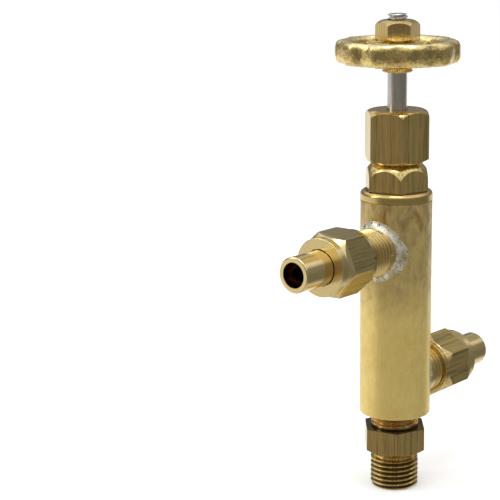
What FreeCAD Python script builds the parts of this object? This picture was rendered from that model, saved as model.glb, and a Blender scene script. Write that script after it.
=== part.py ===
import FreeCAD, Part
import math
import os

# Miniature screw-down needle valve with two side unions and a threaded hex base.
# Millimetres, +Z up.  The origin is the centre of the lower end of the base thread.
# The upper side port points along -X and the lower one along +X.

V = FreeCAD.Vector

# ---- stock sizes shared by several pieces
THIRTY_TWO = 25.4 / 32            # pitch of the 32 threads-per-inch screws
FORTY = 25.4 / 40                 # pitch of the 40 threads-per-inch spindle screw
PORT_THREAD_R = 3.97              # 5/16 in x 32: base, union stubs
NECK_THREAD_R = 3.57              # 9/32 in x 32: both ends of the bonnet
SPINDLE_R = 1.5875                # 1/8 in stainless rod, 1/8 in x 40 thread
SCREW_GAP = 0.06                  # radial play of a female thread over a crest
SLIDE_GAP = 0.03                  # radial play of a sliding fit
CREST_SHARE = 0.14                # width of a thread's crest, as a share of its pitch
ROOT_SHARE = 0.14                 # width of its root
DEPTH_SHARE = 0.53                # depth of a thread
THREAD_LEAD = 0.3                 # chamfer at the start of a thread
THREAD_RUN_OUT = 0.5              # plain length between a head and its thread
SHORTEST_TURN = 0.05              # a shorter end of a thread is left out, as a share of a turn
HEX_AF = 9.525                    # 3/8 in hexagon bar
HEX_CORNER_R = HEX_AF / math.sqrt(3)
PASSAGE_R = 1.6                   # drilled way through stubs and nipples
PIPE_SOCKET_R = 2.02              # takes 5/32 in copper pipe
EDGE = 0.1                        # broken edge of a turned face
PAST = 1.0                        # how far a drill or cutter runs past the face it cuts

# ---- barrel and the base adaptor under it
BARREL_R = 5.85
BARREL_BOTTOM = 12.9
BARREL_TOP = 48.94
BASE_THREAD_TOP = 4.9
BASE_HEX_BOTTOM = 5.7
BASE_HEX_TOP = 10.45
BASE_HEX_CHAMFER_TOP = 6.73
BASE_HEX_FACE_R = 3.9
RELIEF_R = 3.4
RELIEF_CONE = 0.25
BASE_NECK_TOP = 15.55
BASE_SOCKET_TOP = 15.7
BASE_BORE_R = 2.0
THREAD_END_R = 3.6

# ---- chambers inside the barrel
LOWER_CHAMBER_R = 2.6
SEAT_BOTTOM = 27.5
SEAT_STEP = 31.5
SEAT_TOP = 32.3
SEAT_BODY_R = 3.2
SEAT_HOLE_R = 1.1
SEAT_MOUTH_R = 1.5
SEAT_CONE_BOTTOM = 30.8
UPPER_CHAMBER_R = 4.2
BUSH_BOTTOM = 44.9
BUSH_SPIGOT_R = 5.0

# ---- top bush, bonnet and gland
BUSH_R = 5.9
BUSH_TOP = 50.5
BUSH_EDGE_R = 0.65
WASHER_TOP = 50.65
WASHER_R = 5.1
BONNET_BOTTOM = 45.5
BONNET_THREAD_TOP = 50.1
BONNET_RELIEF_R = 3.2
BONNET_RELIEF_CONE = 0.15
BONNET_DOME_START = 52.62
BONNET_DOME_MID = (4.8, 54.1)
BONNET_TOP = 54.95
BONNET_TOP_R = 4.0
NECK_TOP = 60.3
BOX_BOTTOM = 53.6
BOX_R = 2.72
PACKING_BOTTOM = 53.64
PACKING_RINGS = 3
PACKING_PITCH = 1.55
PACKING_HEIGHT = 1.5
FOLLOWER_TAIL_BOTTOM = 58.35
FOLLOWER_STEP = 60.9
FOLLOWER_TOP = 61.85
FOLLOWER_FLANGE_R = 3.45
GLAND_BOTTOM = 55.07
GLAND_BOTTOM_R = 4.3
GLAND_LOWER_CHAMFER_TOP = 55.8
GLAND_ROOF = 61.9
GLAND_DOME_START = 62.69
GLAND_DOME_MID = (4.86, 63.38)
GLAND_TOP = 63.62
GLAND_TOP_R = 4.35
GLAND_HOLE_R = 1.72
BONNET_CORNER_DEG = 43.1
GLAND_CORNER_DEG = 46.2
BASE_CORNER_DEG = 40.0

# ---- spindle and handwheel
NEEDLE_TIP = 27.9
NEEDLE_TIP_R = 0.3
NEEDLE_TOP = 32.68
STOP_BOTTOM = 40.9
STOP_TOP = 41.6
STOP_R = 2.3
SPINDLE_THREAD = (42.4, 49.3)
WHEEL_THREAD_BOTTOM = 71.2
SPINDLE_TOP = 78.9
SPINDLE_EDGE = 0.2
HUB_BOTTOM = 69.66
HUB_LIP_TOP = 70.0
HUB_LIP_R = 2.45
HUB_R = 2.33
HUB_DISC_R = 4.3
HUB_DISC_BOTTOM = 72.0
HUB_DISC_TOP = 74.4
HUB_BOSS_R = 2.2
HUB_BOSS_TOP = 74.64
HUB_EDGE = 0.5
RIM_R = 10.0
RIM_INNER_R = 7.3
RIM_BOTTOM = 71.1
RIM_TOP = 74.8
RIM_ROUND = 1.1
RIM_INNER_EDGE = 0.4
LOBES = 10
SCALLOP_R = 2.4
SCALLOP_CENTRE_R = 11.9
SPOKES = 5
SPOKE_BOTTOM = 72.4
SPOKE_TOP = 74.1
SPOKE_HUB_WIDTH = 2.6
SPOKE_RIM_WIDTH = 2.0
SPOKE_START = 3.3
SPOKE_END = 8.1
WHEEL_NUT_AF = 6.2
WHEEL_NUT_FACE_R = 2.95
WHEEL_NUT_CHAMFER_TOP = 74.99
WHEEL_NUT_DOME_START = 77.1
WHEEL_NUT_DOME_MID = (3.0, 77.68)
WHEEL_NUT_TOP = 77.95
WHEEL_NUT_TOP_R = 2.3
WHEEL_NUT_CORNER_DEG = 9.9

# ---- side ports; distances along a port are from the barrel's axis
UPPER_PORT_Z = 41.1
LOWER_PORT_Z = 18.4
UPPER_NUT_BACK = 11.3
LOWER_NUT_BACK = 8.3
UPPER_SPIGOT_START = 4.3
LOWER_SPIGOT_START = 2.9
UPPER_CORNER_DEG = 53.0
LOWER_CORNER_DEG = 29.0
PORT_HOLE_R = 2.6
# a union along its own axis, from the back face of its nut
NUT_LENGTH = 8.7
NUT_BACK_CORNER = 1.84
NUT_FRONT_CORNER = 6.36
NUT_BOSS_R = 4.7
NUT_CONE_LENGTH = 1.09
NUT_SHOULDER = 6.9
NUT_HOLE_R = 2.97
STUB_END = 5.2
STUB_THREAD_START = 6.5           # from the barrel's axis
SEAT_FACE_R = 3.0
NOSE_START = 4.1
NOSE_GAP = 0.07
FLANGE_BACK = 5.3
FLANGE_FRONT = 6.85
FLANGE_R = 3.8
NIPPLE_R = 2.85
NIPPLE_END = 15.1
NIPPLE_ROUND = 0.25
SOCKET_DEPTH = 6.0
# the solder fillet's steps: (radius about the port, radius about the barrel)
SOLDER_STEPS = ((5.35, 6.1), (4.75, 6.5), (4.3, 7.1))
SOLDER_TALLEST = 8.0


def turned(profile):
    """Solid of revolution about Z.  An item is (r, z), or (r_mid, z_mid, r, z) for an arc."""
    edges = []
    here = V(profile[0][0], 0, profile[0][1])
    for item in profile[1:] + profile[:1]:
        end = V(item[-2], 0, item[-1])
        if len(item) == 4:
            edges.append(Part.Arc(here, V(item[0], 0, item[1]), end).toShape())
        else:
            edges.append(Part.makeLine(here, end))
        here = end
    face = Part.Face(Part.Wire(edges))
    return face.revolve(V(0, 0, 0), V(0, 0, 1), 360)


def rod(radius, z0, z1):
    return Part.makeCylinder(radius, z1 - z0, V(0, 0, z0))


def hexagon(across_flats, z0, z1, corner_deg):
    """Hexagon bar along Z with one corner at corner_deg."""
    corner_r = across_flats / math.sqrt(3)
    points = []
    for k in range(7):
        angle = math.radians(corner_deg + 60 * k)
        points.append(V(corner_r * math.cos(angle), corner_r * math.sin(angle), z0))
    return Part.Face(Part.makePolygon(points)).extrude(V(0, 0, z1 - z0))


def with_thread(shaft, radius, pitch, z0, z1):
    """Cut a right-hand V thread between z0 and z1 into a shaft of this radius, turn by turn."""
    depth = DEPTH_SHARE * pitch
    root_r = radius - depth
    outer_r = radius + SCREW_GAP / 2
    half_root = ROOT_SHARE * pitch / 2
    half_mouth = (1 - CREST_SHARE) * pitch / 2
    half_outer = half_root + (half_mouth - half_root) * (outer_r - root_r) / depth
    section = Part.makePolygon([
        V(root_r, 0, -half_root),
        V(outer_r, 0, -half_outer),
        V(outer_r, 0, half_outer),
        V(root_r, 0, half_root),
        V(root_r, 0, -half_root),
    ])
    threaded = shaft
    bottom = z0
    while z1 - bottom > SHORTEST_TURN * pitch:
        rise = min(pitch, z1 - bottom)
        helix = Part.Wire(Part.makeHelix(pitch, rise, root_r).Edges)
        groove = helix.makePipeShell([section], True, True)
        groove.translate(V(0, 0, bottom))
        threaded = threaded.cut(groove)
        bottom += rise
    # every turn along the shaft has to be cut away, and nothing else
    box = shaft.BoundBox
    turns = (min(z1, box.ZMax) - max(z0, box.ZMin)) / pitch
    turn_volume = (half_root + half_mouth) * depth * math.tau * (root_r + 0.6 * depth)
    cut_share = (shaft.Volume - threaded.Volume) / (turns * turn_volume)
    if not 0.8 < cut_share < 1.2:
        raise ValueError("the thread groove was not cut: %.2f" % cut_share)
    return threaded


def at_port(shape, direction, height):
    """Move a piece built along +Z onto the port that points along X * direction."""
    turn = FreeCAD.Rotation(V(0, direction, 0), V(0, 0, 1), V(direction, 0, 0), "ZXY")
    moved = shape.copy()
    moved.Placement = FreeCAD.Placement(V(0, 0, height), turn).multiply(shape.Placement)
    return moved


def barrel():
    """Turned body with a chamber above and below the seat, and a hole for each port."""
    body = turned([
        (PORT_THREAD_R + SCREW_GAP, BARREL_BOTTOM),
        (BARREL_R - EDGE, BARREL_BOTTOM),
        (BARREL_R, BARREL_BOTTOM + EDGE),
        (BARREL_R, BARREL_TOP - EDGE),
        (BARREL_R - EDGE, BARREL_TOP),
        (BUSH_SPIGOT_R, BARREL_TOP),
        (BUSH_SPIGOT_R, BUSH_BOTTOM),
        (UPPER_CHAMBER_R, BUSH_BOTTOM),
        (UPPER_CHAMBER_R, SEAT_STEP),
        (SEAT_BODY_R, SEAT_STEP),
        (SEAT_BODY_R, SEAT_BOTTOM),
        (LOWER_CHAMBER_R, SEAT_BOTTOM),
        (LOWER_CHAMBER_R, BASE_SOCKET_TOP),
        (PORT_THREAD_R + SCREW_GAP, BASE_SOCKET_TOP),
    ])
    upper_hole = rod(PORT_HOLE_R, UPPER_SPIGOT_START - PAST, BARREL_R + PAST)
    lower_hole = rod(PORT_HOLE_R, LOWER_SPIGOT_START, BARREL_R + PAST)
    lower_way = rod(PASSAGE_R, 0, LOWER_SPIGOT_START + PAST)
    body = body.cut(at_port(upper_hole, -1, UPPER_PORT_Z))
    body = body.cut(at_port(lower_hole, 1, LOWER_PORT_Z))
    return body.cut(at_port(lower_way, 1, LOWER_PORT_Z))


def base_adaptor():
    """Hexagon with a thread above it for the barrel and one below it for the plant."""
    envelope = turned([
        (0, BASE_HEX_BOTTOM),
        (BASE_HEX_FACE_R, BASE_HEX_BOTTOM),
        (HEX_CORNER_R, BASE_HEX_CHAMFER_TOP),
        (HEX_CORNER_R + PAST, BASE_HEX_CHAMFER_TOP),
        (HEX_CORNER_R + PAST, BASE_HEX_TOP),
        (0, BASE_HEX_TOP),
    ])
    head = hexagon(HEX_AF, BASE_HEX_BOTTOM, BASE_HEX_TOP, BASE_CORNER_DEG).common(envelope)
    lower = turned([
        (0, 0),
        (THREAD_END_R, 0),
        (PORT_THREAD_R, PORT_THREAD_R - THREAD_END_R),
        (PORT_THREAD_R, BASE_THREAD_TOP),
        (RELIEF_R, BASE_THREAD_TOP + RELIEF_CONE),
        (RELIEF_R, BASE_HEX_BOTTOM),
        (0, BASE_HEX_BOTTOM),
    ])
    lower = with_thread(lower, PORT_THREAD_R, THIRTY_TWO, -THIRTY_TWO, BASE_THREAD_TOP)
    upper = rod(PORT_THREAD_R, BASE_HEX_TOP, BASE_NECK_TOP)
    thread_start = BASE_HEX_TOP + THREAD_RUN_OUT
    upper = with_thread(upper, PORT_THREAD_R, THIRTY_TWO, thread_start, BASE_NECK_TOP + THIRTY_TWO)
    whole = head.fuse(lower).fuse(upper)
    return whole.cut(rod(BASE_BORE_R, -PAST, BASE_NECK_TOP + PAST))


def seat_insert():
    """Pressed-in valve seat with the cone that the needle closes on."""
    return turned([
        (SEAT_HOLE_R, SEAT_BOTTOM),
        (SEAT_BODY_R, SEAT_BOTTOM),
        (SEAT_BODY_R, SEAT_STEP),
        (UPPER_CHAMBER_R, SEAT_STEP),
        (UPPER_CHAMBER_R, SEAT_TOP),
        (SEAT_MOUTH_R, SEAT_TOP),
        (SEAT_HOLE_R, SEAT_CONE_BOTTOM),
    ])


def top_bush():
    """Collar soldered into the barrel's top, tapped for the bonnet."""
    bore_r = NECK_THREAD_R + SCREW_GAP
    bend = BUSH_EDGE_R * (1 - math.sqrt(0.5))
    return turned([
        (bore_r, BUSH_BOTTOM),
        (BUSH_SPIGOT_R, BUSH_BOTTOM),
        (BUSH_SPIGOT_R, BARREL_TOP),
        (BUSH_R - EDGE, BARREL_TOP),
        (BUSH_R, BARREL_TOP + EDGE),
        (BUSH_R, BUSH_TOP - BUSH_EDGE_R),
        (BUSH_R - bend, BUSH_TOP - bend, BUSH_R - BUSH_EDGE_R, BUSH_TOP),
        (bore_r, BUSH_TOP),
    ])


def bonnet_washer():
    """Thin washer between the bonnet's head and the bush."""
    hole = rod(NECK_THREAD_R + SCREW_GAP, BUSH_TOP - PAST, WASHER_TOP + PAST)
    return rod(WASHER_R, BUSH_TOP, WASHER_TOP).cut(hole)


def bonnet():
    """Screws into the top bush; guides the spindle's thread and holds the packing."""
    envelope = turned([
        (0, WASHER_TOP),
        (HEX_CORNER_R, WASHER_TOP),
        (HEX_CORNER_R, BONNET_DOME_START),
        (*BONNET_DOME_MID, BONNET_TOP_R, BONNET_TOP),
        (0, BONNET_TOP),
    ])
    head = hexagon(HEX_AF, WASHER_TOP, BONNET_TOP, BONNET_CORNER_DEG).common(envelope)
    lower = turned([
        (0, BONNET_BOTTOM),
        (NECK_THREAD_R - THREAD_LEAD, BONNET_BOTTOM),
        (NECK_THREAD_R, BONNET_BOTTOM + THREAD_LEAD),
        (NECK_THREAD_R, BONNET_THREAD_TOP),
        (BONNET_RELIEF_R, BONNET_THREAD_TOP + BONNET_RELIEF_CONE),
        (BONNET_RELIEF_R, WASHER_TOP),
        (0, WASHER_TOP),
    ])
    thread_start = BONNET_BOTTOM - THREAD_RUN_OUT
    lower = with_thread(lower, NECK_THREAD_R, THIRTY_TWO, thread_start, BONNET_THREAD_TOP)
    neck = turned([
        (0, BONNET_TOP),
        (NECK_THREAD_R, BONNET_TOP),
        (NECK_THREAD_R, NECK_TOP - THREAD_LEAD),
        (NECK_THREAD_R - THREAD_LEAD, NECK_TOP),
        (0, NECK_TOP),
    ])
    neck_start = BONNET_TOP + THREAD_RUN_OUT
    neck = with_thread(neck, NECK_THREAD_R, THIRTY_TWO, neck_start, NECK_TOP + THREAD_RUN_OUT)
    whole = head.fuse(lower).fuse(neck)
    whole = whole.cut(rod(SPINDLE_R + SCREW_GAP, BONNET_BOTTOM - PAST, BOX_BOTTOM + PAST))
    return whole.cut(rod(BOX_R, BOX_BOTTOM, NECK_TOP + PAST))


def packing_ring(index):
    """One of the rings of packing stacked in the bonnet's box, counted from the bottom."""
    z0 = PACKING_BOTTOM + index * PACKING_PITCH
    ring = rod(BOX_R - SLIDE_GAP, z0, z0 + PACKING_HEIGHT)
    return ring.cut(rod(SPINDLE_R + SLIDE_GAP, z0 - PAST, z0 + PACKING_HEIGHT + PAST))


def gland_follower():
    """Stepped bush that the gland nut pushes onto the packing."""
    hole_r = SPINDLE_R + SCREW_GAP
    return turned([
        (hole_r, FOLLOWER_TAIL_BOTTOM),
        (BOX_R - SLIDE_GAP, FOLLOWER_TAIL_BOTTOM),
        (BOX_R - SLIDE_GAP, FOLLOWER_STEP),
        (FOLLOWER_FLANGE_R, FOLLOWER_STEP),
        (FOLLOWER_FLANGE_R, FOLLOWER_TOP - EDGE),
        (FOLLOWER_FLANGE_R - EDGE, FOLLOWER_TOP),
        (hole_r, FOLLOWER_TOP),
    ])


def gland_nut():
    """Tall hexagon cap nut on the bonnet's neck."""
    envelope = turned([
        (0, GLAND_BOTTOM),
        (GLAND_BOTTOM_R, GLAND_BOTTOM),
        (HEX_CORNER_R, GLAND_LOWER_CHAMFER_TOP),
        (HEX_CORNER_R, GLAND_DOME_START),
        (*GLAND_DOME_MID, GLAND_TOP_R, GLAND_TOP),
        (0, GLAND_TOP),
    ])
    body = hexagon(HEX_AF, GLAND_BOTTOM, GLAND_TOP, GLAND_CORNER_DEG).common(envelope)
    body = body.cut(rod(NECK_THREAD_R + SCREW_GAP, GLAND_BOTTOM - PAST, GLAND_ROOF))
    return body.cut(rod(GLAND_HOLE_R, GLAND_ROOF - PAST, GLAND_TOP + PAST))


def spindle():
    """Stainless rod: needle point, opening stop, screw and wheel thread in one piece."""
    shaft = turned([
        (0, NEEDLE_TIP),
        (NEEDLE_TIP_R, NEEDLE_TIP),
        (SPINDLE_R, NEEDLE_TOP),
        (SPINDLE_R, STOP_BOTTOM),
        (STOP_R, STOP_BOTTOM),
        (STOP_R, STOP_TOP),
        (SPINDLE_R, STOP_TOP),
        (SPINDLE_R, SPINDLE_TOP - SPINDLE_EDGE),
        (SPINDLE_R - SPINDLE_EDGE, SPINDLE_TOP),
        (0, SPINDLE_TOP),
    ])
    shaft = with_thread(shaft, SPINDLE_R, FORTY, *SPINDLE_THREAD)
    return with_thread(shaft, SPINDLE_R, FORTY, WHEEL_THREAD_BOTTOM, SPINDLE_TOP + FORTY)


def spoke(angle_deg):
    """One tapered arm of the handwheel."""
    outline = Part.makePolygon([
        V(SPOKE_START, -SPOKE_HUB_WIDTH / 2, SPOKE_BOTTOM),
        V(SPOKE_END, -SPOKE_RIM_WIDTH / 2, SPOKE_BOTTOM),
        V(SPOKE_END, SPOKE_RIM_WIDTH / 2, SPOKE_BOTTOM),
        V(SPOKE_START, SPOKE_HUB_WIDTH / 2, SPOKE_BOTTOM),
        V(SPOKE_START, -SPOKE_HUB_WIDTH / 2, SPOKE_BOTTOM),
    ])
    arm = Part.Face(outline).extrude(V(0, 0, SPOKE_TOP - SPOKE_BOTTOM))
    arm.rotate(V(0, 0, 0), V(0, 0, 1), angle_deg)
    return arm


def handwheel():
    """Cast wheel: hub, five arms and a rim with ten grip lobes."""
    bend = RIM_ROUND * (1 - math.sqrt(0.5))
    wheel = turned([
        (RIM_INNER_R, RIM_BOTTOM + RIM_INNER_EDGE),
        (RIM_INNER_R + RIM_INNER_EDGE, RIM_BOTTOM),
        (RIM_R - RIM_ROUND, RIM_BOTTOM),
        (RIM_R - bend, RIM_BOTTOM + bend, RIM_R, RIM_BOTTOM + RIM_ROUND),
        (RIM_R, RIM_TOP - RIM_ROUND),
        (RIM_R - bend, RIM_TOP - bend, RIM_R - RIM_ROUND, RIM_TOP),
        (RIM_INNER_R + RIM_INNER_EDGE, RIM_TOP),
        (RIM_INNER_R, RIM_TOP - RIM_INNER_EDGE),
    ])
    for k in range(LOBES):
        scallop = rod(SCALLOP_R, RIM_BOTTOM - PAST, RIM_TOP + PAST)
        scallop.translate(V(SCALLOP_CENTRE_R, 0, 0))
        scallop.rotate(V(0, 0, 0), V(0, 0, 1), k * 360 / LOBES)
        wheel = wheel.cut(scallop)
    hub = turned([
        (0, HUB_BOTTOM),
        (HUB_LIP_R, HUB_BOTTOM),
        (HUB_LIP_R, HUB_LIP_TOP),
        (HUB_R, HUB_LIP_TOP),
        (HUB_R, HUB_DISC_BOTTOM),
        (HUB_DISC_R - HUB_EDGE, HUB_DISC_BOTTOM),
        (HUB_DISC_R, HUB_DISC_BOTTOM + HUB_EDGE),
        (HUB_DISC_R, HUB_DISC_TOP - HUB_EDGE),
        (HUB_DISC_R - HUB_EDGE, HUB_DISC_TOP),
        (HUB_BOSS_R, HUB_DISC_TOP),
        (HUB_BOSS_R, HUB_BOSS_TOP),
        (0, HUB_BOSS_TOP),
    ])
    wheel = wheel.fuse(hub)
    for k in range(SPOKES):
        wheel = wheel.fuse(spoke(k * 360 / SPOKES))
    wheel = wheel.removeSplitter()
    return wheel.cut(rod(SPINDLE_R + SLIDE_GAP, HUB_BOTTOM - PAST, HUB_BOSS_TOP + PAST))


def wheel_nut():
    """Domed lock nut that holds the handwheel on the spindle."""
    corner_r = WHEEL_NUT_AF / math.sqrt(3)
    envelope = turned([
        (0, HUB_BOSS_TOP),
        (WHEEL_NUT_FACE_R, HUB_BOSS_TOP),
        (corner_r, WHEEL_NUT_CHAMFER_TOP),
        (corner_r, WHEEL_NUT_DOME_START),
        (*WHEEL_NUT_DOME_MID, WHEEL_NUT_TOP_R, WHEEL_NUT_TOP),
        (0, WHEEL_NUT_TOP),
    ])
    nut = hexagon(WHEEL_NUT_AF, HUB_BOSS_TOP, WHEEL_NUT_TOP, WHEEL_NUT_CORNER_DEG)
    nut = nut.common(envelope)
    return nut.cut(rod(SPINDLE_R + SLIDE_GAP, HUB_BOSS_TOP - PAST, WHEEL_NUT_TOP + PAST))


def port_stub(direction, height, spigot_start, nut_back):
    """Threaded stub, saddled to the barrel, with a spigot in the barrel's side hole."""
    end = nut_back + STUB_END
    stub = turned([
        (PASSAGE_R, spigot_start),
        (PORT_THREAD_R, spigot_start),
        (PORT_THREAD_R, end - THREAD_LEAD),
        (PORT_THREAD_R - THREAD_LEAD, end),
        (SEAT_FACE_R, end),
        (PASSAGE_R, end - SEAT_FACE_R + PASSAGE_R),
    ])
    stub = with_thread(stub, PORT_THREAD_R, THIRTY_TWO, STUB_THREAD_START, end + THIRTY_TWO)
    spigot_hole = at_port(rod(PORT_HOLE_R, 0, BARREL_R + PAST), direction, height)
    around_spigot = rod(BARREL_R, BARREL_BOTTOM, BARREL_TOP).cut(spigot_hole)
    return at_port(stub, direction, height).cut(around_spigot)


def port_solder(direction, height):
    """Silver-solder fillet between a stub and the barrel."""
    low = height - SOLDER_TALLEST
    high = height + SOLDER_TALLEST
    layers = []
    for port_r, barrel_r in SOLDER_STEPS:
        disc = at_port(rod(port_r, 0, SOLDER_TALLEST), direction, height)
        layers.append(disc.common(rod(barrel_r, low, high)))
    fillet = layers[0].fuse(layers[1:])
    fillet = fillet.cut(rod(BARREL_R, low - PAST, high + PAST))
    core = at_port(rod(PORT_THREAD_R, 0, SOLDER_TALLEST + PAST), direction, height)
    return fillet.cut(core).removeSplitter()


def union_nut(direction, height, nut_back, corner_deg):
    """Hexagon nut with a turned boss at each end; its shoulder traps the nipple's flange."""
    envelope = turned([
        (0, 0),
        (NUT_BOSS_R - EDGE, 0),
        (NUT_BOSS_R, EDGE),
        (NUT_BOSS_R, NUT_BACK_CORNER - NUT_CONE_LENGTH),
        (HEX_CORNER_R, NUT_BACK_CORNER),
        (HEX_CORNER_R, NUT_FRONT_CORNER),
        (NUT_BOSS_R, NUT_FRONT_CORNER + NUT_CONE_LENGTH),
        (NUT_BOSS_R, NUT_LENGTH - EDGE),
        (NUT_BOSS_R - EDGE, NUT_LENGTH),
        (0, NUT_LENGTH),
    ])
    nut = hexagon(HEX_AF, 0, NUT_LENGTH, corner_deg).common(envelope)
    nut = nut.cut(rod(PORT_THREAD_R + SCREW_GAP, -PAST, NUT_SHOULDER))
    nut = nut.cut(rod(NUT_HOLE_R, NUT_SHOULDER - PAST, NUT_LENGTH + PAST))
    nut.translate(V(0, 0, nut_back))
    return at_port(nut, direction, height)


def union_nipple(direction, height, nut_back):
    """Coned nipple; the pipe is soldered into the socket in its outer end."""
    cone_shift = STUB_END - SEAT_FACE_R + NOSE_GAP
    bend = NIPPLE_ROUND * (1 - math.sqrt(0.5))
    nipple = turned([
        (PASSAGE_R, NOSE_START),
        (NOSE_START - cone_shift, NOSE_START),
        (FLANGE_BACK - cone_shift, FLANGE_BACK),
        (FLANGE_R, FLANGE_BACK),
        (FLANGE_R, FLANGE_FRONT),
        (NIPPLE_R, FLANGE_FRONT),
        (NIPPLE_R, NIPPLE_END - NIPPLE_ROUND),
        (NIPPLE_R - bend, NIPPLE_END - bend, NIPPLE_R - NIPPLE_ROUND, NIPPLE_END),
        (PIPE_SOCKET_R, NIPPLE_END),
        (PIPE_SOCKET_R, NIPPLE_END - SOCKET_DEPTH),
        (PASSAGE_R, NIPPLE_END - SOCKET_DEPTH),
    ])
    nipple.translate(V(0, 0, nut_back))
    return at_port(nipple, direction, height)


def add_port(pieces, name, direction, height, spigot_start, nut_back, corner_deg):
    """Add the four pieces of one side port to the dictionary of pieces."""
    pieces[name + "_port_stub"] = port_stub(direction, height, spigot_start, nut_back)
    pieces[name + "_port_solder"] = port_solder(direction, height)
    pieces[name + "_union_nut"] = union_nut(direction, height, nut_back, corner_deg)
    pieces[name + "_union_nipple"] = union_nipple(direction, height, nut_back)


def all_pieces():
    """Every piece of the valve, by name."""
    pieces = {
        "barrel": barrel(),
        "base_adaptor": base_adaptor(),
        "seat_insert": seat_insert(),
        "top_bush": top_bush(),
        "bonnet_washer": bonnet_washer(),
        "bonnet": bonnet(),
        "gland_follower": gland_follower(),
        "gland_nut": gland_nut(),
        "spindle": spindle(),
        "handwheel": handwheel(),
        "wheel_nut": wheel_nut(),
    }
    for index in range(PACKING_RINGS):
        pieces["packing_ring_%d" % (index + 1)] = packing_ring(index)
    add_port(pieces, "upper", -1, UPPER_PORT_Z, UPPER_SPIGOT_START, UPPER_NUT_BACK, UPPER_CORNER_DEG)
    add_port(pieces, "lower", 1, LOWER_PORT_Z, LOWER_SPIGOT_START, LOWER_NUT_BACK, LOWER_CORNER_DEG)
    return pieces


os.makedirs("parts", exist_ok=True)
for node, shape in all_pieces().items():
    if not shape.isValid() or len(shape.Solids) != 1:
        raise ValueError("%s is not one valid solid" % node)
    shape.Solids[0].exportStep("parts/%s.step" % node)
    print("%-22s volume %9.2f mm3" % (node, shape.Volume))
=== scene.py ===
import math

import bpy
from mathutils import Matrix, Vector, noise


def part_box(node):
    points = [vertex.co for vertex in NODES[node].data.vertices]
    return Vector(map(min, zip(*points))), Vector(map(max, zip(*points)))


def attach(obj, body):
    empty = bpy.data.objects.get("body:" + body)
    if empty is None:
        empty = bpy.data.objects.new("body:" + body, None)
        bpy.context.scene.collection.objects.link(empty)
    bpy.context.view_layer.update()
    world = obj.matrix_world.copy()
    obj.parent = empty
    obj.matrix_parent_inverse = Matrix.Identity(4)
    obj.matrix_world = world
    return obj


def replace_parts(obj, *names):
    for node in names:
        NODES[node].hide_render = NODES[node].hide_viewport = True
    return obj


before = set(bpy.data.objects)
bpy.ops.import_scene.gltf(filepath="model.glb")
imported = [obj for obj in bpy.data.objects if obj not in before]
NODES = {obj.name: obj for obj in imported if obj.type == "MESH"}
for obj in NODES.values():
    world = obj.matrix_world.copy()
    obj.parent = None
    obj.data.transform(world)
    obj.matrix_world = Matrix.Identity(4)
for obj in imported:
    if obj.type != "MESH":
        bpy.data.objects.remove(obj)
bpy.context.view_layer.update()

# Looks of the miniature needle valve.  Metres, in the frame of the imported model:
# +Z up the spindle, the upper port along -X, the lower port along +X.
# Shaders measure in millimetres, and so do the values whose comment says so.

MM = 0.001


def middle_height(node):
    """Height of the middle of a CAD node."""
    low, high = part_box(node)
    return (low.z + high.z) / 2


# ---- camera: its distance from the valve's axis, its height and where it looks
CAMERA_SIDE = math.radians(-54.0)      # turn about +Z from looking along +Y
CAMERA_DISTANCE = 264.19 * MM
CAMERA_HEIGHT = 100.52 * MM
CAMERA_YAW = math.radians(-5.197)
CAMERA_PITCH = math.radians(12.818)    # downwards
CAMERA_ROLL = math.radians(-0.688)
SENSOR = 36.0
LENS = 118.48
CLIP_NEAR = 5.0 * MM
CLIP_FAR = 20.0

# ---- studio
LIGHT_AIM = 42.0 * MM                  # height on the valve's axis that the softboxes face
FLOOR_RADIUS = 3.0
FLOOR_SIDES = 96
FLOOR_HEIGHT = -0.05 * MM
FLOOR_WHITE = 0.90
FLOOR_GLOW = 0.34

# ---- handwheel casting
RIM_OUTER = 10.0 * MM
RIM_INNER = 7.25 * MM
RIM_LOW = 71.1 * MM
RIM_HIGH = 74.8 * MM
LOBES = 10
LOBE_DEPTH = 0.62 * MM
RIM_STEPS = 240
TUBE_STEPS = 40
RIM_SWELL = 0.12 * MM                  # slow unevenness of the rim's radius
RIM_SWAY = 0.10 * MM                   # slow unevenness of its height
RIM_PIMPLES = 0.09 * MM                # fine relief of the sand
SPOKES = 5
SPOKE_LOW = 72.3                       # spokes, the band of painted shade and the painted highlight's height, in millimetres
SPOKE_HIGH = 74.15
SPOKE_INNER = 3.4
SPOKE_OUTER = 8.0
SPOKE_HALF_WIDTH = 1.25                # at the hub
SPOKE_TAPER = 0.25                     # lost on the way to the rim
SHADE_BAND_LOW = 72.3                       # painted shade: darker olive patches lie between these two heights
SHADE_BAND_HIGH = 74.1
RIM_HIGHLIGHT_AND_WEAR = 74.2                        # height above which a painted highlight brightens the rim, also standing for hand wear

# ---- barrel, base and side ports in millimetres, but for the heights of the ports
BARREL_R = 5.85
HEAT_LOW = 29.0                        # the heat tint begins here and is full at the next height
HEAT_HIGH = 37.0
STAIN_LOW = 33.0                       # likewise the brown stains over it
STAIN_HIGH = 48.0
THREAD_R = 3.97                        # crests of the base's thread and of the stubs' threads
BASE_THREAD_TOP = 4.9
BASE_HEXAGON_TOP = 10.45
BASE_BORE_R = 2.0
UPPER_PORT = middle_height("upper_union_nut")
LOWER_PORT = middle_height("lower_union_nut")
PORT_BORE_R = 2.02
UPPER_CONE = 17.6                      # from the barrel's axis to the cone of a union nut
LOWER_CONE = 14.6
FILLET_SIZE = 0.95                     # solder, along the stub and over the barrel
FILLET_EXTRA = 0.25                    # wider by this over and under the stub
FILLET_LUMPS = 0.16

BRASS = (0.84, 0.63, 0.255)
BRASS_LIGHT = (0.90, 0.73, 0.37)
BRASS_DULL = (0.58, 0.45, 0.20)


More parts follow.
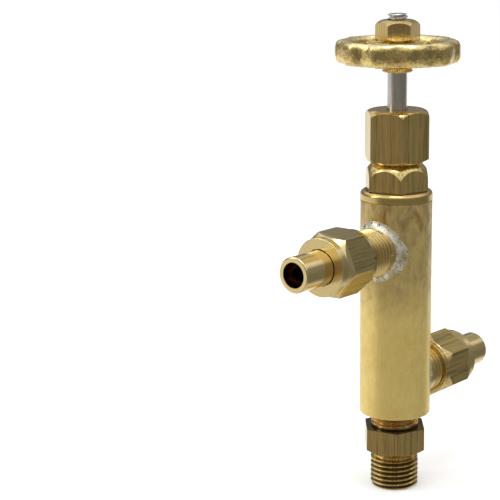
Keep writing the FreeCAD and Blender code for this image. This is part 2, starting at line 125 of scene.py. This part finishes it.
# ------------------------------------------------------------------ node helpers
class Tree:
    """Small helper for building the node tree of a material or of the world."""

    def __init__(self, owner):
        owner.use_nodes = True
        self.owner = owner
        self.nodes = owner.node_tree.nodes
        self.links = owner.node_tree.links

    def add(self, kind, **settings):
        """New node of a kind, with its settings."""
        node = self.nodes.new(kind)
        for key, value in settings.items():
            setattr(node, key, value)
        return node

    def link(self, source, target):
        """Join an output to an input."""
        self.links.new(source, target)

    def feed(self, value, socket):
        """Give an input its value: another node's output, a number or an (r, g, b) colour."""
        if isinstance(value, bpy.types.NodeSocket):
            self.link(value, socket)
        elif isinstance(value, (int, float)):
            socket.default_value = value
        else:
            socket.default_value = (*value, 1.0)

    def position(self, scale=(1.0, 1.0, 1.0)):
        """Object coordinates in millimetres, stretched by scale."""
        where = self.add("ShaderNodeTexCoord")
        mapping = self.add("ShaderNodeMapping")
        mapping.inputs["Scale"].default_value = [s / MM for s in scale]
        self.link(where.outputs["Object"], mapping.inputs["Vector"])
        return mapping.outputs["Vector"]

    def noise(self, vector, scale, detail, rough, distortion=0.0):
        """Grey noise, from 0 to 1."""
        node = self.add("ShaderNodeTexNoise")
        node.inputs["Scale"].default_value = scale
        node.inputs["Detail"].default_value = detail
        node.inputs["Roughness"].default_value = rough
        node.inputs["Distortion"].default_value = distortion
        self.link(vector, node.inputs["Vector"])
        return node.outputs["Fac"]

    def ramp(self, factor, stops):
        """Colour ramp; a stop is (position, (r, g, b))."""
        node = self.add("ShaderNodeValToRGB")
        elements = node.color_ramp.elements
        while len(elements) > 1:
            elements.remove(elements[-1])
        for index, (place, colour) in enumerate(stops):
            element = elements[0] if index == 0 else elements.new(place)
            element.position = place
            element.color = (*colour, 1.0)
        self.link(factor, node.inputs["Fac"])
        return node.outputs["Color"]

    def mix(self, factor, first, second):
        """Colour that goes from first to second as factor goes from 0 to 1."""
        node = self.add("ShaderNodeMix", data_type="RGBA")
        # of the node's many sockets, these are the ones that mix colours
        self.feed(factor, node.inputs[0])
        self.feed(first, node.inputs[6])
        self.feed(second, node.inputs[7])
        return node.outputs[2]

    def maths(self, operation, *values):
        """Result of a maths node; a value is a number or an output."""
        node = self.add("ShaderNodeMath", operation=operation)
        for value, socket in zip(values, node.inputs):
            self.feed(value, socket)
        return node.outputs[0]

    def length(self, first, second):
        """Length of the line whose two parts are given."""
        squares = [self.maths("MULTIPLY", part, part) for part in (first, second)]
        return self.maths("SQRT", self.maths("ADD", *squares))

    def spread(self, value, low, high, to_low=0.0, to_high=1.0):
        """Clamped linear map of value from low..high to to_low..to_high."""
        node = self.add("ShaderNodeMapRange")
        node.inputs["From Min"].default_value = low
        node.inputs["From Max"].default_value = high
        node.inputs["To Min"].default_value = to_low
        node.inputs["To Max"].default_value = to_high
        self.link(value, node.inputs["Value"])
        return node.outputs["Result"]

    def parts(self, vector):
        """The x, y and z of a vector."""
        node = self.add("ShaderNodeSeparateXYZ")
        self.link(vector, node.inputs[0])
        return node.outputs[0], node.outputs[1], node.outputs[2]

    def bump(self, height, strength, distance, normal=None):
        """Normal of a surface with a relief, over another normal where one is given."""
        node = self.add("ShaderNodeBump")
        node.inputs["Strength"].default_value = strength
        node.inputs["Distance"].default_value = distance
        self.link(height, node.inputs["Height"])
        if normal is not None:
            self.link(normal, node.inputs["Normal"])
        return node.outputs["Normal"]

    def soft_edges(self, radius):
        """Normal that rounds sharp edges by a radius."""
        node = self.add("ShaderNodeBevel", samples=4)
        node.inputs["Radius"].default_value = radius
        return node.outputs["Normal"]

    def finish(self, colour, rough, normal=None, metallic=1.0):
        """Feed the surface shader, and return the material."""
        shader = self.nodes["Principled BSDF"]
        self.feed(colour, shader.inputs["Base Color"])
        self.feed(rough, shader.inputs["Roughness"])
        self.feed(metallic, shader.inputs["Metallic"])
        if normal is not None:
            self.link(normal, shader.inputs["Normal"])
        return self.owner


def material_tree(name):
    """Tree of a new material."""
    return Tree(bpy.data.materials.new(name))


def grey(value):
    """Colour of one brightness."""
    return (value, value, value)


# ------------------------------------------------------------------ materials
def drawn_brass(name, lines_along, tint=BRASS, shade=None, streak=0.5):
    """Bright hexagon-bar brass with fine lines along the bar and a thin tarnish."""
    tree = material_tree(name)
    stretch = [1.0, 1.0, 1.0]
    stretch["XYZ".index(lines_along)] = 0.02
    fine = tree.noise(tree.position(stretch), 9.0, 4.0, 0.6)
    broad = tree.noise(tree.position(stretch), 2.2, 2.0, 0.5)
    cloud = tree.noise(tree.position(), 0.35, 3.0, 0.6)
    lines = tree.maths("ADD", tree.maths("MULTIPLY", fine, 0.55), tree.maths("MULTIPLY", broad, 0.45))
    dark = [c * streak for c in tint]
    light = [min(1.0, c * 1.15) for c in tint]
    colour = tree.ramp(lines, [(0.40, dark), (0.50, tint), (0.66, light)])
    colour = tree.mix(tree.spread(cloud, 0.45, 0.75, 0.0, 0.30), colour, BRASS_DULL)
    roughness = tree.spread(lines, 0.3, 0.7, 0.27, 0.13)
    normal = tree.bump(lines, 0.25, 0.02 * MM, tree.soft_edges(0.07 * MM))
    if shade is not None:
        colour = shade(tree, colour)
    return tree.finish(colour, roughness, normal)


def turned_brass(name, tint, rough, shade=None):
    """Bright lathe-turned brass."""
    tree = material_tree(name)
    cloud = tree.noise(tree.position(), 0.8, 4.0, 0.6)
    grain = tree.noise(tree.position(), 14.0, 2.0, 0.5)
    colour = tree.mix(tree.spread(cloud, 0.42, 0.72, 0.0, 0.5), tint, BRASS)
    roughness = tree.spread(grain, 0.3, 0.7, rough, rough + 0.10)
    normal = tree.bump(grain, 0.12, 0.01 * MM, tree.soft_edges(0.06 * MM))
    if shade is not None:
        colour = shade(tree, colour)
    return tree.finish(colour, roughness, normal)


def barrel_brass():
    """Satin barrel: brushed, pitted, dulled by heat towards the soldered top."""
    tree = material_tree("barrel_brass")
    place = tree.position()
    z = tree.parts(place)[2]
    around = tree.noise(tree.position((0.30, 0.30, 4.0)), 3.0, 4.0, 0.65)
    upright = tree.noise(tree.position((3.0, 3.0, 0.16)), 1.8, 4.0, 0.6)
    cloud = tree.noise(place, 0.28, 4.0, 0.6, 0.6)
    mottle = tree.noise(tree.position((1.0, 1.0, 0.6)), 0.8, 5.0, 0.6, 0.5)
    clean = tree.mix(tree.spread(cloud, 0.35, 0.68), (0.97, 0.76, 0.27), (0.90, 0.67, 0.20))
    clean = tree.mix(tree.spread(mottle, 0.40, 0.70, 0.0, 0.25), clean, (0.62, 0.45, 0.14))
    clean = tree.mix(tree.spread(around, 0.54, 0.68, 0.0, 0.35), clean, (1.0, 0.88, 0.50))
    clean = tree.mix(tree.spread(upright, 0.56, 0.70, 0.0, 0.35), clean, (0.55, 0.40, 0.13))
    heated = tree.mix(tree.spread(mottle, 0.34, 0.68), (0.72, 0.56, 0.21), (0.52, 0.40, 0.16))
    heated = tree.mix(tree.spread(upright, 0.52, 0.70, 0.0, 0.35), heated, (0.36, 0.25, 0.10))
    # heat line: higher on one side than the other
    line = tree.maths("ADD", z, tree.maths("MULTIPLY", tree.maths("SUBTRACT", cloud, 0.5), 9.0))
    colour = tree.mix(tree.spread(line, HEAT_LOW, HEAT_HIGH), clean, heated)
    patches = tree.noise(tree.position((1.0, 1.0, 0.55)), 0.42, 4.0, 0.65, 0.8)
    near_top = tree.maths("MULTIPLY", tree.spread(z, STAIN_LOW, STAIN_HIGH), 0.80)
    stain = tree.maths("MULTIPLY", tree.spread(patches, 0.44, 0.66), near_top)
    colour = tree.mix(stain, colour, (0.25, 0.115, 0.045))
    pits = tree.spread(tree.noise(place, 3.6, 2.0, 0.5), 0.72, 0.76)
    colour = tree.mix(tree.maths("MULTIPLY", pits, 0.75), colour, (0.16, 0.10, 0.04))
    rough = tree.spread(mottle, 0.3, 0.7, 0.28, 0.46)
    height = tree.maths("ADD", tree.maths("MULTIPLY", around, 0.7), tree.maths("MULTIPLY", upright, 0.6))
    height = tree.maths("SUBTRACT", height, tree.maths("MULTIPLY", pits, 0.7))
    normal = tree.bump(height, 0.6, 0.03 * MM, tree.soft_edges(0.08 * MM))
    return tree.finish(colour, rough, normal, metallic=0.66)


def cast_brass():
    """Sand-cast brass: gold low on the rim, painted shade as dull olive patches half way up, and a painted
    highlight on the top edge that also stands for hand wear.
    """
    tree = material_tree("cast_brass")
    place = tree.position()
    grain = tree.noise(place, 3.2, 6.0, 0.7)
    lumps = tree.noise(place, 1.1, 4.0, 0.6, 0.5)
    cloud = tree.noise(place, 0.45, 3.0, 0.6, 0.4)
    z = tree.parts(place)[2]
    uneven = tree.maths("ADD", z, tree.maths("MULTIPLY", tree.maths("SUBTRACT", lumps, 0.5), 2.4))
    gold = tree.mix(tree.spread(cloud, 0.44, 0.56), (1.0, 0.80, 0.34), (0.88, 0.66, 0.24))
    # painted shade: the olive colour fills a band half way up the rim, spokes and hub
    olive = tree.mix(tree.spread(cloud, 0.46, 0.54), (0.42, 0.31, 0.12), (0.66, 0.50, 0.19))
    above = tree.spread(uneven, SHADE_BAND_LOW, SHADE_BAND_LOW + 0.2)
    below = tree.spread(uneven, SHADE_BAND_HIGH, SHADE_BAND_HIGH - 0.2)
    painted_shade_band = tree.maths("MULTIPLY", above, below)
    colour = tree.mix(tree.maths("MULTIPLY", painted_shade_band, 0.90), gold, olive)
    colour = tree.mix(tree.spread(grain, 0.52, 0.58, 0.0, 0.55), colour, (0.24, 0.16, 0.06))
    # painted highlight on the tops above the highlight height, patchy, also standing for hand wear
    highlight_and_wear = tree.maths("MULTIPLY", tree.spread(z, RIM_HIGHLIGHT_AND_WEAR, RIM_HIGHLIGHT_AND_WEAR + 0.25), tree.spread(lumps, 0.38, 0.46))
    colour = tree.mix(tree.maths("MULTIPLY", highlight_and_wear, 0.8), colour, (0.98, 0.84, 0.48))
    rough = tree.spread(grain, 0.38, 0.64, 0.16, 0.34)
    height = tree.maths("ADD", tree.maths("MULTIPLY", grain, 0.3), lumps)
    return tree.finish(colour, rough, tree.bump(height, 0.6, 0.14 * MM), metallic=0.88)


def stainless():
    """Ground stainless steel with fine upright lines."""
    tree = material_tree("stainless_steel")
    fine = tree.noise(tree.position((1.0, 1.0, 0.03)), 7.0, 3.0, 0.55)
    cloud = tree.noise(tree.position(), 1.2, 3.0, 0.5)
    colour = tree.ramp(fine, [(0.30, (0.50, 0.48, 0.44)), (0.70, (0.80, 0.78, 0.73))])
    roughness = tree.spread(cloud, 0.3, 0.7, 0.24, 0.36)
    normal = tree.bump(fine, 0.2, 0.01 * MM, tree.soft_edges(0.06 * MM))
    return tree.finish(colour, roughness, normal)


def solder():
    """Silver solder: bright, slightly yellow where it is thin, with small dark pits."""
    tree = material_tree("silver_solder")
    place = tree.position()
    cloud = tree.noise(place, 0.7, 4.0, 0.6, 0.3)
    grain = tree.noise(place, 6.0, 4.0, 0.6)
    pits = tree.spread(tree.noise(place, 2.6, 2.0, 0.5), 0.60, 0.66)
    colour = tree.mix(tree.spread(cloud, 0.40, 0.62), (0.92, 0.87, 0.70), (0.55, 0.48, 0.27))
    colour = tree.mix(tree.maths("MULTIPLY", pits, 0.9), colour, (0.06, 0.05, 0.03))
    rough = tree.spread(grain, 0.3, 0.7, 0.25, 0.45)
    height = tree.maths("SUBTRACT", tree.maths("MULTIPLY", grain, 0.4), pits)
    return tree.finish(colour, rough, tree.bump(height, 0.6, 0.06 * MM), metallic=0.8)


def oxide(tree):
    """Uneven dark brown of brass left unpolished."""
    cloud = tree.noise(tree.position(), 1.5, 4.0, 0.6)
    return tree.ramp(cloud, [(0.3, (0.16, 0.08, 0.035)), (0.7, (0.40, 0.22, 0.10))])


def port_radius(tree, port):
    """Distance in millimetres from the axis of the port at a height."""
    y, z = tree.parts(tree.position())[1:]
    return tree.length(y, tree.maths("SUBTRACT", z, port / MM))


def brown_bore(port):
    """Nipple colour: dark brown inside the pipe socket."""
    def shade(tree, colour):
        inside = tree.spread(port_radius(tree, port), PORT_BORE_R + 0.10, PORT_BORE_R - 0.05)
        return tree.mix(inside, colour, oxide(tree))
    return shade


def stub_thread(port):
    """Stub colour: bright crests, brown roots."""
    def shade(tree, colour):
        root = tree.spread(port_radius(tree, port), THREAD_R - 0.12, THREAD_R - 0.42)
        return tree.mix(root, colour, (0.34, 0.24, 0.09))
    return shade


def bright_cone(start):
    """Union nut colour: brighter on its turned front cone, from start mm off the barrel's axis."""
    def shade(tree, colour):
        x = tree.maths("ABSOLUTE", tree.parts(tree.position())[0])
        return tree.mix(tree.spread(x, start, start + 0.2, 0.0, 0.8), colour, BRASS_LIGHT)
    return shade


def base_finish(tree, colour):
    """Base colour: brown thread roots and bore, painted shadow on the top of the hexagon, coppery neck."""
    x, y, z = tree.parts(tree.position())
    radius = tree.length(x, y)
    in_thread = tree.spread(z, BASE_THREAD_TOP + 0.2, BASE_THREAD_TOP)
    root = tree.spread(radius, THREAD_R - 0.07, THREAD_R - 0.37)
    colour = tree.mix(tree.maths("MULTIPLY", in_thread, root), colour, (0.16, 0.10, 0.035))
    bore = tree.spread(radius, BASE_BORE_R + 0.10, BASE_BORE_R)
    colour = tree.mix(bore, colour, oxide(tree))
    # painted shadow: near-black on the hexagon's top face and the foot of the neck above it
    above = tree.spread(z, BASE_HEXAGON_TOP - 0.15, BASE_HEXAGON_TOP - 0.03)
    below = tree.spread(z, BASE_HEXAGON_TOP + 0.30, BASE_HEXAGON_TOP + 0.15)
    top = tree.maths("MULTIPLY", above, below)
    colour = tree.mix(tree.maths("MULTIPLY", top, 0.94), colour, (0.030, 0.018, 0.008))
    copper = tree.spread(tree.noise(tree.position((0.6, 0.6, 2.5)), 1.6, 4.0, 0.6), 0.38, 0.60)
    past = tree.spread(z, BASE_HEXAGON_TOP + 0.15, BASE_HEXAGON_TOP + 0.35)
    neck = tree.maths("MULTIPLY", past, copper)
    return tree.mix(tree.maths("MULTIPLY", neck, 0.75), colour, (0.62, 0.30, 0.13))


def packing_fibre():
    """Black graphited packing."""
    tree = material_tree("gland_packing")
    strands = tree.noise(tree.position((1.0, 1.0, 3.0)), 5.0, 4.0, 0.6)
    colour = tree.ramp(strands, [(0.3, grey(0.03)), (0.7, grey(0.12))])
    return tree.finish(colour, 0.7, tree.bump(strands, 0.5, 0.05 * MM), metallic=0.0)


def washer_fibre():
    """Thin dark brown fibre."""
    tree = material_tree("washer_fibre")
    speckle = tree.noise(tree.position(), 8.0, 4.0, 0.6)
    colour = tree.ramp(speckle, [(0.3, (0.05, 0.03, 0.015)), (0.7, (0.14, 0.09, 0.05))])
    return tree.finish(colour, 0.75, tree.bump(speckle, 0.3, 0.02 * MM), metallic=0.0)


def floor_paper():
    """White paper: slightly luminous, so that it stays pale out to the far edge."""
    tree = material_tree("floor_paper")
    cloud = tree.noise(tree.position(), 0.004, 2.0, 0.5)
    colour = tree.mix(tree.spread(cloud, 0.3, 0.7), grey(FLOOR_WHITE), grey(FLOOR_WHITE * 0.985))
    paper = tree.finish(colour, 0.8, metallic=0.0)
    shader = tree.nodes["Principled BSDF"]
    tree.feed(grey(1.0), shader.inputs["Emission Color"])
    tree.feed(FLOOR_GLOW, shader.inputs["Emission Strength"])
    return paper


def give(node, material):
    """Make a material the only one of a CAD node."""
    mesh = NODES[node].data
    mesh.materials.clear()
    mesh.materials.append(material)


def dress_cad_nodes():
    """Materials of every CAD node that stays in the scene."""
    turned = turned_brass("turned_brass", BRASS, 0.16)
    give("barrel", barrel_brass())
    give("top_bush", turned_brass("collar_brass", (0.70, 0.53, 0.21), 0.18))
    give("seat_insert", turned)
    give("gland_follower", turned)
    hexagon = drawn_brass("hexagon_brass_upright", "Z")
    give("bonnet", hexagon)
    give("gland_nut", hexagon)
    give("wheel_nut", drawn_brass("wheel_nut_brass", "Z", (0.66, 0.49, 0.20), streak=0.78))
    give("base_adaptor", drawn_brass("base_brass", "Z", shade=base_finish))
    # the upper union nut's darker tint is painted shade: both nuts are the same brass
    for side, port, cone, tint in (
        ("upper", UPPER_PORT, UPPER_CONE, (0.60, 0.49, 0.22)),
        ("lower", LOWER_PORT, LOWER_CONE, (0.82, 0.62, 0.26)),
    ):
        give(side + "_union_nut", drawn_brass(side + "_union_brass", "X", tint, bright_cone(cone)))
        nipple = turned_brass(side + "_nipple_brass", BRASS_LIGHT, 0.10, brown_bore(port))
        give(side + "_union_nipple", nipple)
        give(side + "_port_stub", turned_brass(side + "_stub_brass", BRASS, 0.16, stub_thread(port)))
    give("bonnet_washer", washer_fibre())
    give("spindle", stainless())
    packing = packing_fibre()
    for index in (1, 2, 3):
        give("packing_ring_%d" % index, packing)


# ------------------------------------------------------------------ mesh pieces
def new_piece(name, vertices, faces, material, body):
    """Smooth mesh that rides a body."""
    mesh = bpy.data.meshes.new(name)
    mesh.from_pydata(vertices, [], faces)
    mesh.validate()
    mesh.polygons.foreach_set("use_smooth", [True] * len(mesh.polygons))
    mesh.materials.append(material)
    piece = bpy.data.objects.new(name, mesh)
    bpy.context.scene.collection.objects.link(piece)
    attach(piece, body)
    return piece


def closed_faces(base, rows, columns):
    """Faces of a grid of vertices from number base on that closes both ways, as a ring does."""
    faces = []
    for i in range(rows):
        here = base + i * columns
        there = base + (i + 1) % rows * columns
        for j in range(columns):
            m = (j + 1) % columns
            faces.append((here + j, there + j, there + m, here + m))
    return faces


def boxy(value, power):
    """A sine or cosine pushed outwards, which turns a circle into a rounded box."""
    return math.copysign(abs(value) ** power, value)


def smooth_step(t):
    """Goes smoothly from 0 to 1 as t does, and stays there outside."""
    t = min(1.0, max(0.0, t))
    return t * t * (3 - 2 * t)


def solder_fillet(name, direction, height, seed, material):
    """Lumpy saddle of solder between a stub and the barrel."""
    around, across = 120, 14
    row = across + 1
    sunk = 0.05 * MM
    vertices = []
    for i in range(around):
        angle = 2 * math.pi * i / around
        # stretch of the fillet along the stub and over the barrel
        wave = noise.noise(Vector((math.cos(angle) * 1.7, math.sin(angle) * 1.7, seed)))
        tall = (FILLET_SIZE + 0.35 * wave) * MM
        slow_wave = noise.noise(Vector((math.cos(angle), math.sin(angle), seed + 7.0)))
        wide = (FILLET_SIZE + 0.40 * slow_wave) * MM
        wide += FILLET_EXTRA * MM * abs(math.cos(angle))
        for j in range(row):
            t = j / across
            # concave curve from the stub's side down to the barrel's skin
            bend = t * math.pi / 2
            out = THREAD_R * MM + wide * (1 - math.cos(bend))
            lift = tall * (1 - math.sin(bend))
            y = out * math.sin(angle)
            z = out * math.cos(angle)
            skin = math.sqrt(max((BARREL_R * MM) ** 2 - y * y, 0.0))
            bump_at = Vector((y, z, skin + lift)) / MM
            lump = FILLET_LUMPS * MM * noise.noise(bump_at * 1.3 + Vector((seed, 0, 0)))
            lump *= math.sin(math.pi * min(1.0, t + 0.15))
            reach = skin - sunk if j == across else skin + lift + lump
            vertices.append((direction * reach, direction * y, height + z))
    # a ring hidden inside closes the piece
    base = len(vertices)
    for i in range(around):
        angle = 2 * math.pi * i / around
        y = (THREAD_R - 0.05) * MM * math.sin(angle)
        z = (THREAD_R - 0.05) * MM * math.cos(angle)
        skin = math.sqrt((BARREL_R * MM) ** 2 - y * y) - sunk
        vertices.append((direction * skin, direction * y, height + z))
    faces = []
    for i in range(around):
        k = (i + 1) % around
        for j in range(across):
            faces.append((i * row + j, k * row + j, k * row + j + 1, i * row + j + 1))
        faces.append((i * row + across, k * row + across, base + k, base + i))
        faces.append((base + i, base + k, k * row, i * row))
    return new_piece(name, vertices, faces, material, "root")


def handwheel_casting(material):
    """Rim with soft lobes, hub and spokes in one mesh; each spoke's ends are sunk in the rim and the hub."""
    vertices = []
    middle_z = (RIM_LOW + RIM_HIGH) / 2
    half_z = (RIM_HIGH - RIM_LOW) / 2
    centre_r = (RIM_OUTER + RIM_INNER) / 2
    half_r = (RIM_OUTER - RIM_INNER) / 2
    for i in range(RIM_STEPS):
        angle = 2 * math.pi * i / RIM_STEPS
        # 0 on the crest of a lobe and 1 in the valley between two
        valley = (0.5 + 0.5 * math.cos(LOBES * angle)) ** 1.6
        for j in range(TUBE_STEPS):
            turn = 2 * math.pi * j / TUBE_STEPS
            cosine, sine = math.cos(turn), math.sin(turn)
            r = half_r * boxy(cosine, 0.62)
            z = half_z * boxy(sine, 0.72)
            outside = smooth_step((cosine + 0.2) / 1.2)
            radius = centre_r + r - LOBE_DEPTH * valley * outside
            z *= 1 - 0.16 * valley * outside
            swell_at = Vector((math.cos(angle) * 3, math.sin(angle) * 3, z / MM * 0.5))
            radius += RIM_SWELL * noise.noise(swell_at)
            sway_at = Vector((math.cos(angle) * 2.2, math.sin(angle) * 2.2, 5.0 + r / MM))
            z += RIM_SWAY * noise.noise(sway_at)
            spot = Vector((radius * math.cos(angle), radius * math.sin(angle), z)) / MM
            pimple = RIM_PIMPLES * noise.noise(spot * 1.3)
            # the rim keeps inside the CAD wheel's size
            radius = min(radius + pimple * cosine, RIM_OUTER)
            z = max(-half_z, min(half_z, z + pimple * sine))
            vertices.append((radius * math.cos(angle), radius * math.sin(angle), middle_z + z))
    faces = closed_faces(0, RIM_STEPS, TUBE_STEPS)
    add_hub(vertices, faces)
    for k in range(SPOKES):
        add_spoke(vertices, faces, 2 * math.pi * k / SPOKES)
    return new_piece("handwheel_casting", vertices, faces, material, "spindle_set")


def add_hub(vertices, faces):
    """Closed turned hub: (radius, height) in millimetres, from the bore round to the bore."""
    outline = [
        (1.62, 69.66), (2.35, 69.66), (2.45, 69.76), (2.45, 69.92), (2.33, 70.02), (2.33, 71.85),
        (3.55, 72.0), (4.1, 72.2), (4.3, 72.7), (4.3, 73.8), (4.1, 74.2), (3.7, 74.4),
        (2.3, 74.4), (2.2, 74.5), (2.2, 74.64), (1.62, 74.64),
    ]
    steps = 96
    base = len(vertices)
    for i in range(steps):
        angle = 2 * math.pi * i / steps
        for radius, height in outline:
            vertices.append((radius * MM * math.cos(angle), radius * MM * math.sin(angle), height * MM))
    faces.extend(closed_faces(base, steps, len(outline)))


def add_spoke(vertices, faces, angle):
    """Rounded tapered arm from inside the hub to inside the rim."""
    rows, ring = 16, 20
    base = len(vertices)
    for i in range(rows):
        t = i / (rows - 1)
        reach = (SPOKE_INNER + (SPOKE_OUTER - SPOKE_INNER) * t) * MM
        flare = 1 + 0.35 * (2 * t - 1) ** 4
        half_w = (SPOKE_HALF_WIDTH - SPOKE_TAPER * t) * flare * MM
        half_h = (SPOKE_HIGH - SPOKE_LOW) / 2 * (1 - 0.12 * math.sin(math.pi * t)) * MM
        for j in range(ring):
            turn = 2 * math.pi * j / ring
            side = half_w * boxy(math.cos(turn), 0.7)
            up = (SPOKE_LOW + SPOKE_HIGH) / 2 * MM + half_h * boxy(math.sin(turn), 0.7)
            x = reach * math.cos(angle) - side * math.sin(angle)
            y = reach * math.sin(angle) + side * math.cos(angle)
            vertices.append((x, y, up))
    for i in range(rows - 1):
        here = base + i * ring
        for j in range(ring):
            m = (j + 1) % ring
            faces.append((here + j, here + m, here + ring + m, here + ring + j))
    faces.append(tuple(base + j for j in reversed(range(ring))))
    faces.append(tuple(base + (rows - 1) * ring + j for j in range(ring)))


# ------------------------------------------------------------------ stage
def add_floor():
    """Round sheet of paper that mirrors don't see, so that the metal reflects the studio."""
    turns = [2 * math.pi * i / FLOOR_SIDES for i in range(FLOOR_SIDES)]
    edge = [(FLOOR_RADIUS * math.cos(t), FLOOR_RADIUS * math.sin(t), FLOOR_HEIGHT) for t in turns]
    mesh = bpy.data.meshes.new("floor")
    mesh.from_pydata(edge, [], [tuple(range(FLOOR_SIDES))])
    mesh.materials.append(floor_paper())
    floor = bpy.data.objects.new("floor", mesh)
    bpy.context.scene.collection.objects.link(floor)
    floor.visible_glossy = False


def add_world():
    """Light tent: bright overhead, white sheet below, behind and to the left, dim room in front."""
    world = bpy.data.worlds.new("studio")
    bpy.context.scene.world = world
    tree = Tree(world)
    where = tree.add("ShaderNodeTexCoord")
    turn = tree.add("ShaderNodeMapping")
    turn.inputs["Rotation"].default_value[2] = -CAMERA_SIDE
    tree.link(where.outputs["Generated"], turn.inputs["Vector"])
    x, y, z = tree.parts(turn.outputs["Vector"])
    # share of a turn: 0.5 is the camera's side, 0.25 its left, 0.75 its right, 0 and 1 behind the valve
    around = tree.spread(tree.maths("ARCTAN2", x, tree.maths("MULTIPLY", y, -1.0)), -math.pi, math.pi)
    low = tree.ramp(around, [
        (0.00, grey(1.0)), (0.29, (0.78, 0.75, 0.70)), (0.345, (0.24, 0.215, 0.18)),
        (0.50, (0.215, 0.195, 0.165)), (0.70, (0.20, 0.19, 0.165)), (0.79, (0.17, 0.17, 0.15)),
        (0.835, (0.17, 0.17, 0.15)), (0.87, grey(0.75)), (1.00, grey(1.0)),
    ])
    low = tree.mix(tree.spread(z, -0.50, -0.80), low, grey(0.62))
    high = tree.ramp(z, [
        (0.0, (0.20, 0.19, 0.18)), (0.36, (0.24, 0.23, 0.22)), (0.52, grey(0.80)), (1.0, grey(1.0)),
    ])
    # a darker sheet high up, behind the valve and to its right
    sheet = tree.ramp(around, [
        (0.00, grey(0.0)), (0.84, grey(0.0)), (0.88, grey(1.0)), (0.96, grey(1.0)), (1.00, grey(0.0)),
    ])
    tall = tree.maths("MULTIPLY", tree.spread(z, 0.36, 0.46), tree.spread(z, 0.78, 0.68))
    high = tree.mix(tree.maths("MULTIPLY", sheet, tall), high, (0.34, 0.335, 0.30))
    background = tree.nodes["Background"]
    tree.feed(tree.mix(tree.spread(z, -0.06, 0.02), low, high), background.inputs["Color"])
    tree.feed(1.0, background.inputs["Strength"])


def add_softbox(name, azimuth, elevation, distance, width, height, power):
    """Area light that looks at the valve; azimuth 0 is the camera's side, and 90 its right."""
    data = bpy.data.lights.new(name, "AREA")
    data.shape = "RECTANGLE"
    data.size = width
    data.size_y = height
    data.energy = power
    light = bpy.data.objects.new(name, data)
    bpy.context.scene.collection.objects.link(light)
    a, e = math.radians(azimuth), math.radians(elevation)
    away = Vector((math.sin(a) * math.cos(e), -math.cos(a) * math.cos(e), math.sin(e)))
    away = Matrix.Rotation(CAMERA_SIDE, 3, "Z") @ away
    light.location = Vector((0.0, 0.0, LIGHT_AIM)) + away * distance
    light.rotation_mode = "QUATERNION"
    light.rotation_quaternion = (-away).to_track_quat("-Z", "Y")
    light.visible_camera = False


def add_camera():
    """Camera on the upper port's side of the valve, turned and rolled a little and tilted down."""
    data = bpy.data.cameras.new("camera")
    data.sensor_width = SENSOR
    data.lens = LENS
    data.clip_start = CLIP_NEAR
    data.clip_end = CLIP_FAR
    camera = bpy.data.objects.new("camera", data)
    bpy.context.scene.collection.objects.link(camera)
    turn = Matrix.Rotation(CAMERA_SIDE, 3, "Z")
    forward = Vector((
        math.sin(CAMERA_YAW) * math.cos(CAMERA_PITCH),
        math.cos(CAMERA_YAW) * math.cos(CAMERA_PITCH),
        -math.sin(CAMERA_PITCH),
    ))
    side = forward.cross(Vector((0, 0, 1))).normalized()
    up = side.cross(forward)
    right = math.cos(CAMERA_ROLL) * side + math.sin(CAMERA_ROLL) * up
    top = -math.sin(CAMERA_ROLL) * side + math.cos(CAMERA_ROLL) * up
    axes = Matrix((right, top, -forward)).transposed()
    camera.rotation_mode = "QUATERNION"
    camera.rotation_quaternion = (turn @ axes).to_quaternion()
    camera.location = turn @ Vector((0.0, -CAMERA_DISTANCE, CAMERA_HEIGHT))
    bpy.context.scene.camera = camera


# ------------------------------------------------------------------ build
add_camera()
add_world()
add_floor()
add_softbox("overhead", azimuth=0, elevation=80, distance=0.45, width=0.20, height=0.20, power=0.55)
add_softbox("left", azimuth=-80, elevation=32, distance=0.50, width=0.14, height=0.40, power=0.5)
bpy.context.scene.view_settings.view_transform = "Standard"

dress_cad_nodes()
silver = solder()
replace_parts(solder_fillet("upper_solder_fillet", -1, UPPER_PORT, 2.0, silver), "upper_port_solder")
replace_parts(solder_fillet("lower_solder_fillet", 1, LOWER_PORT, 5.0, silver), "lower_port_solder")
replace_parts(handwheel_casting(cast_brass()), "handwheel")
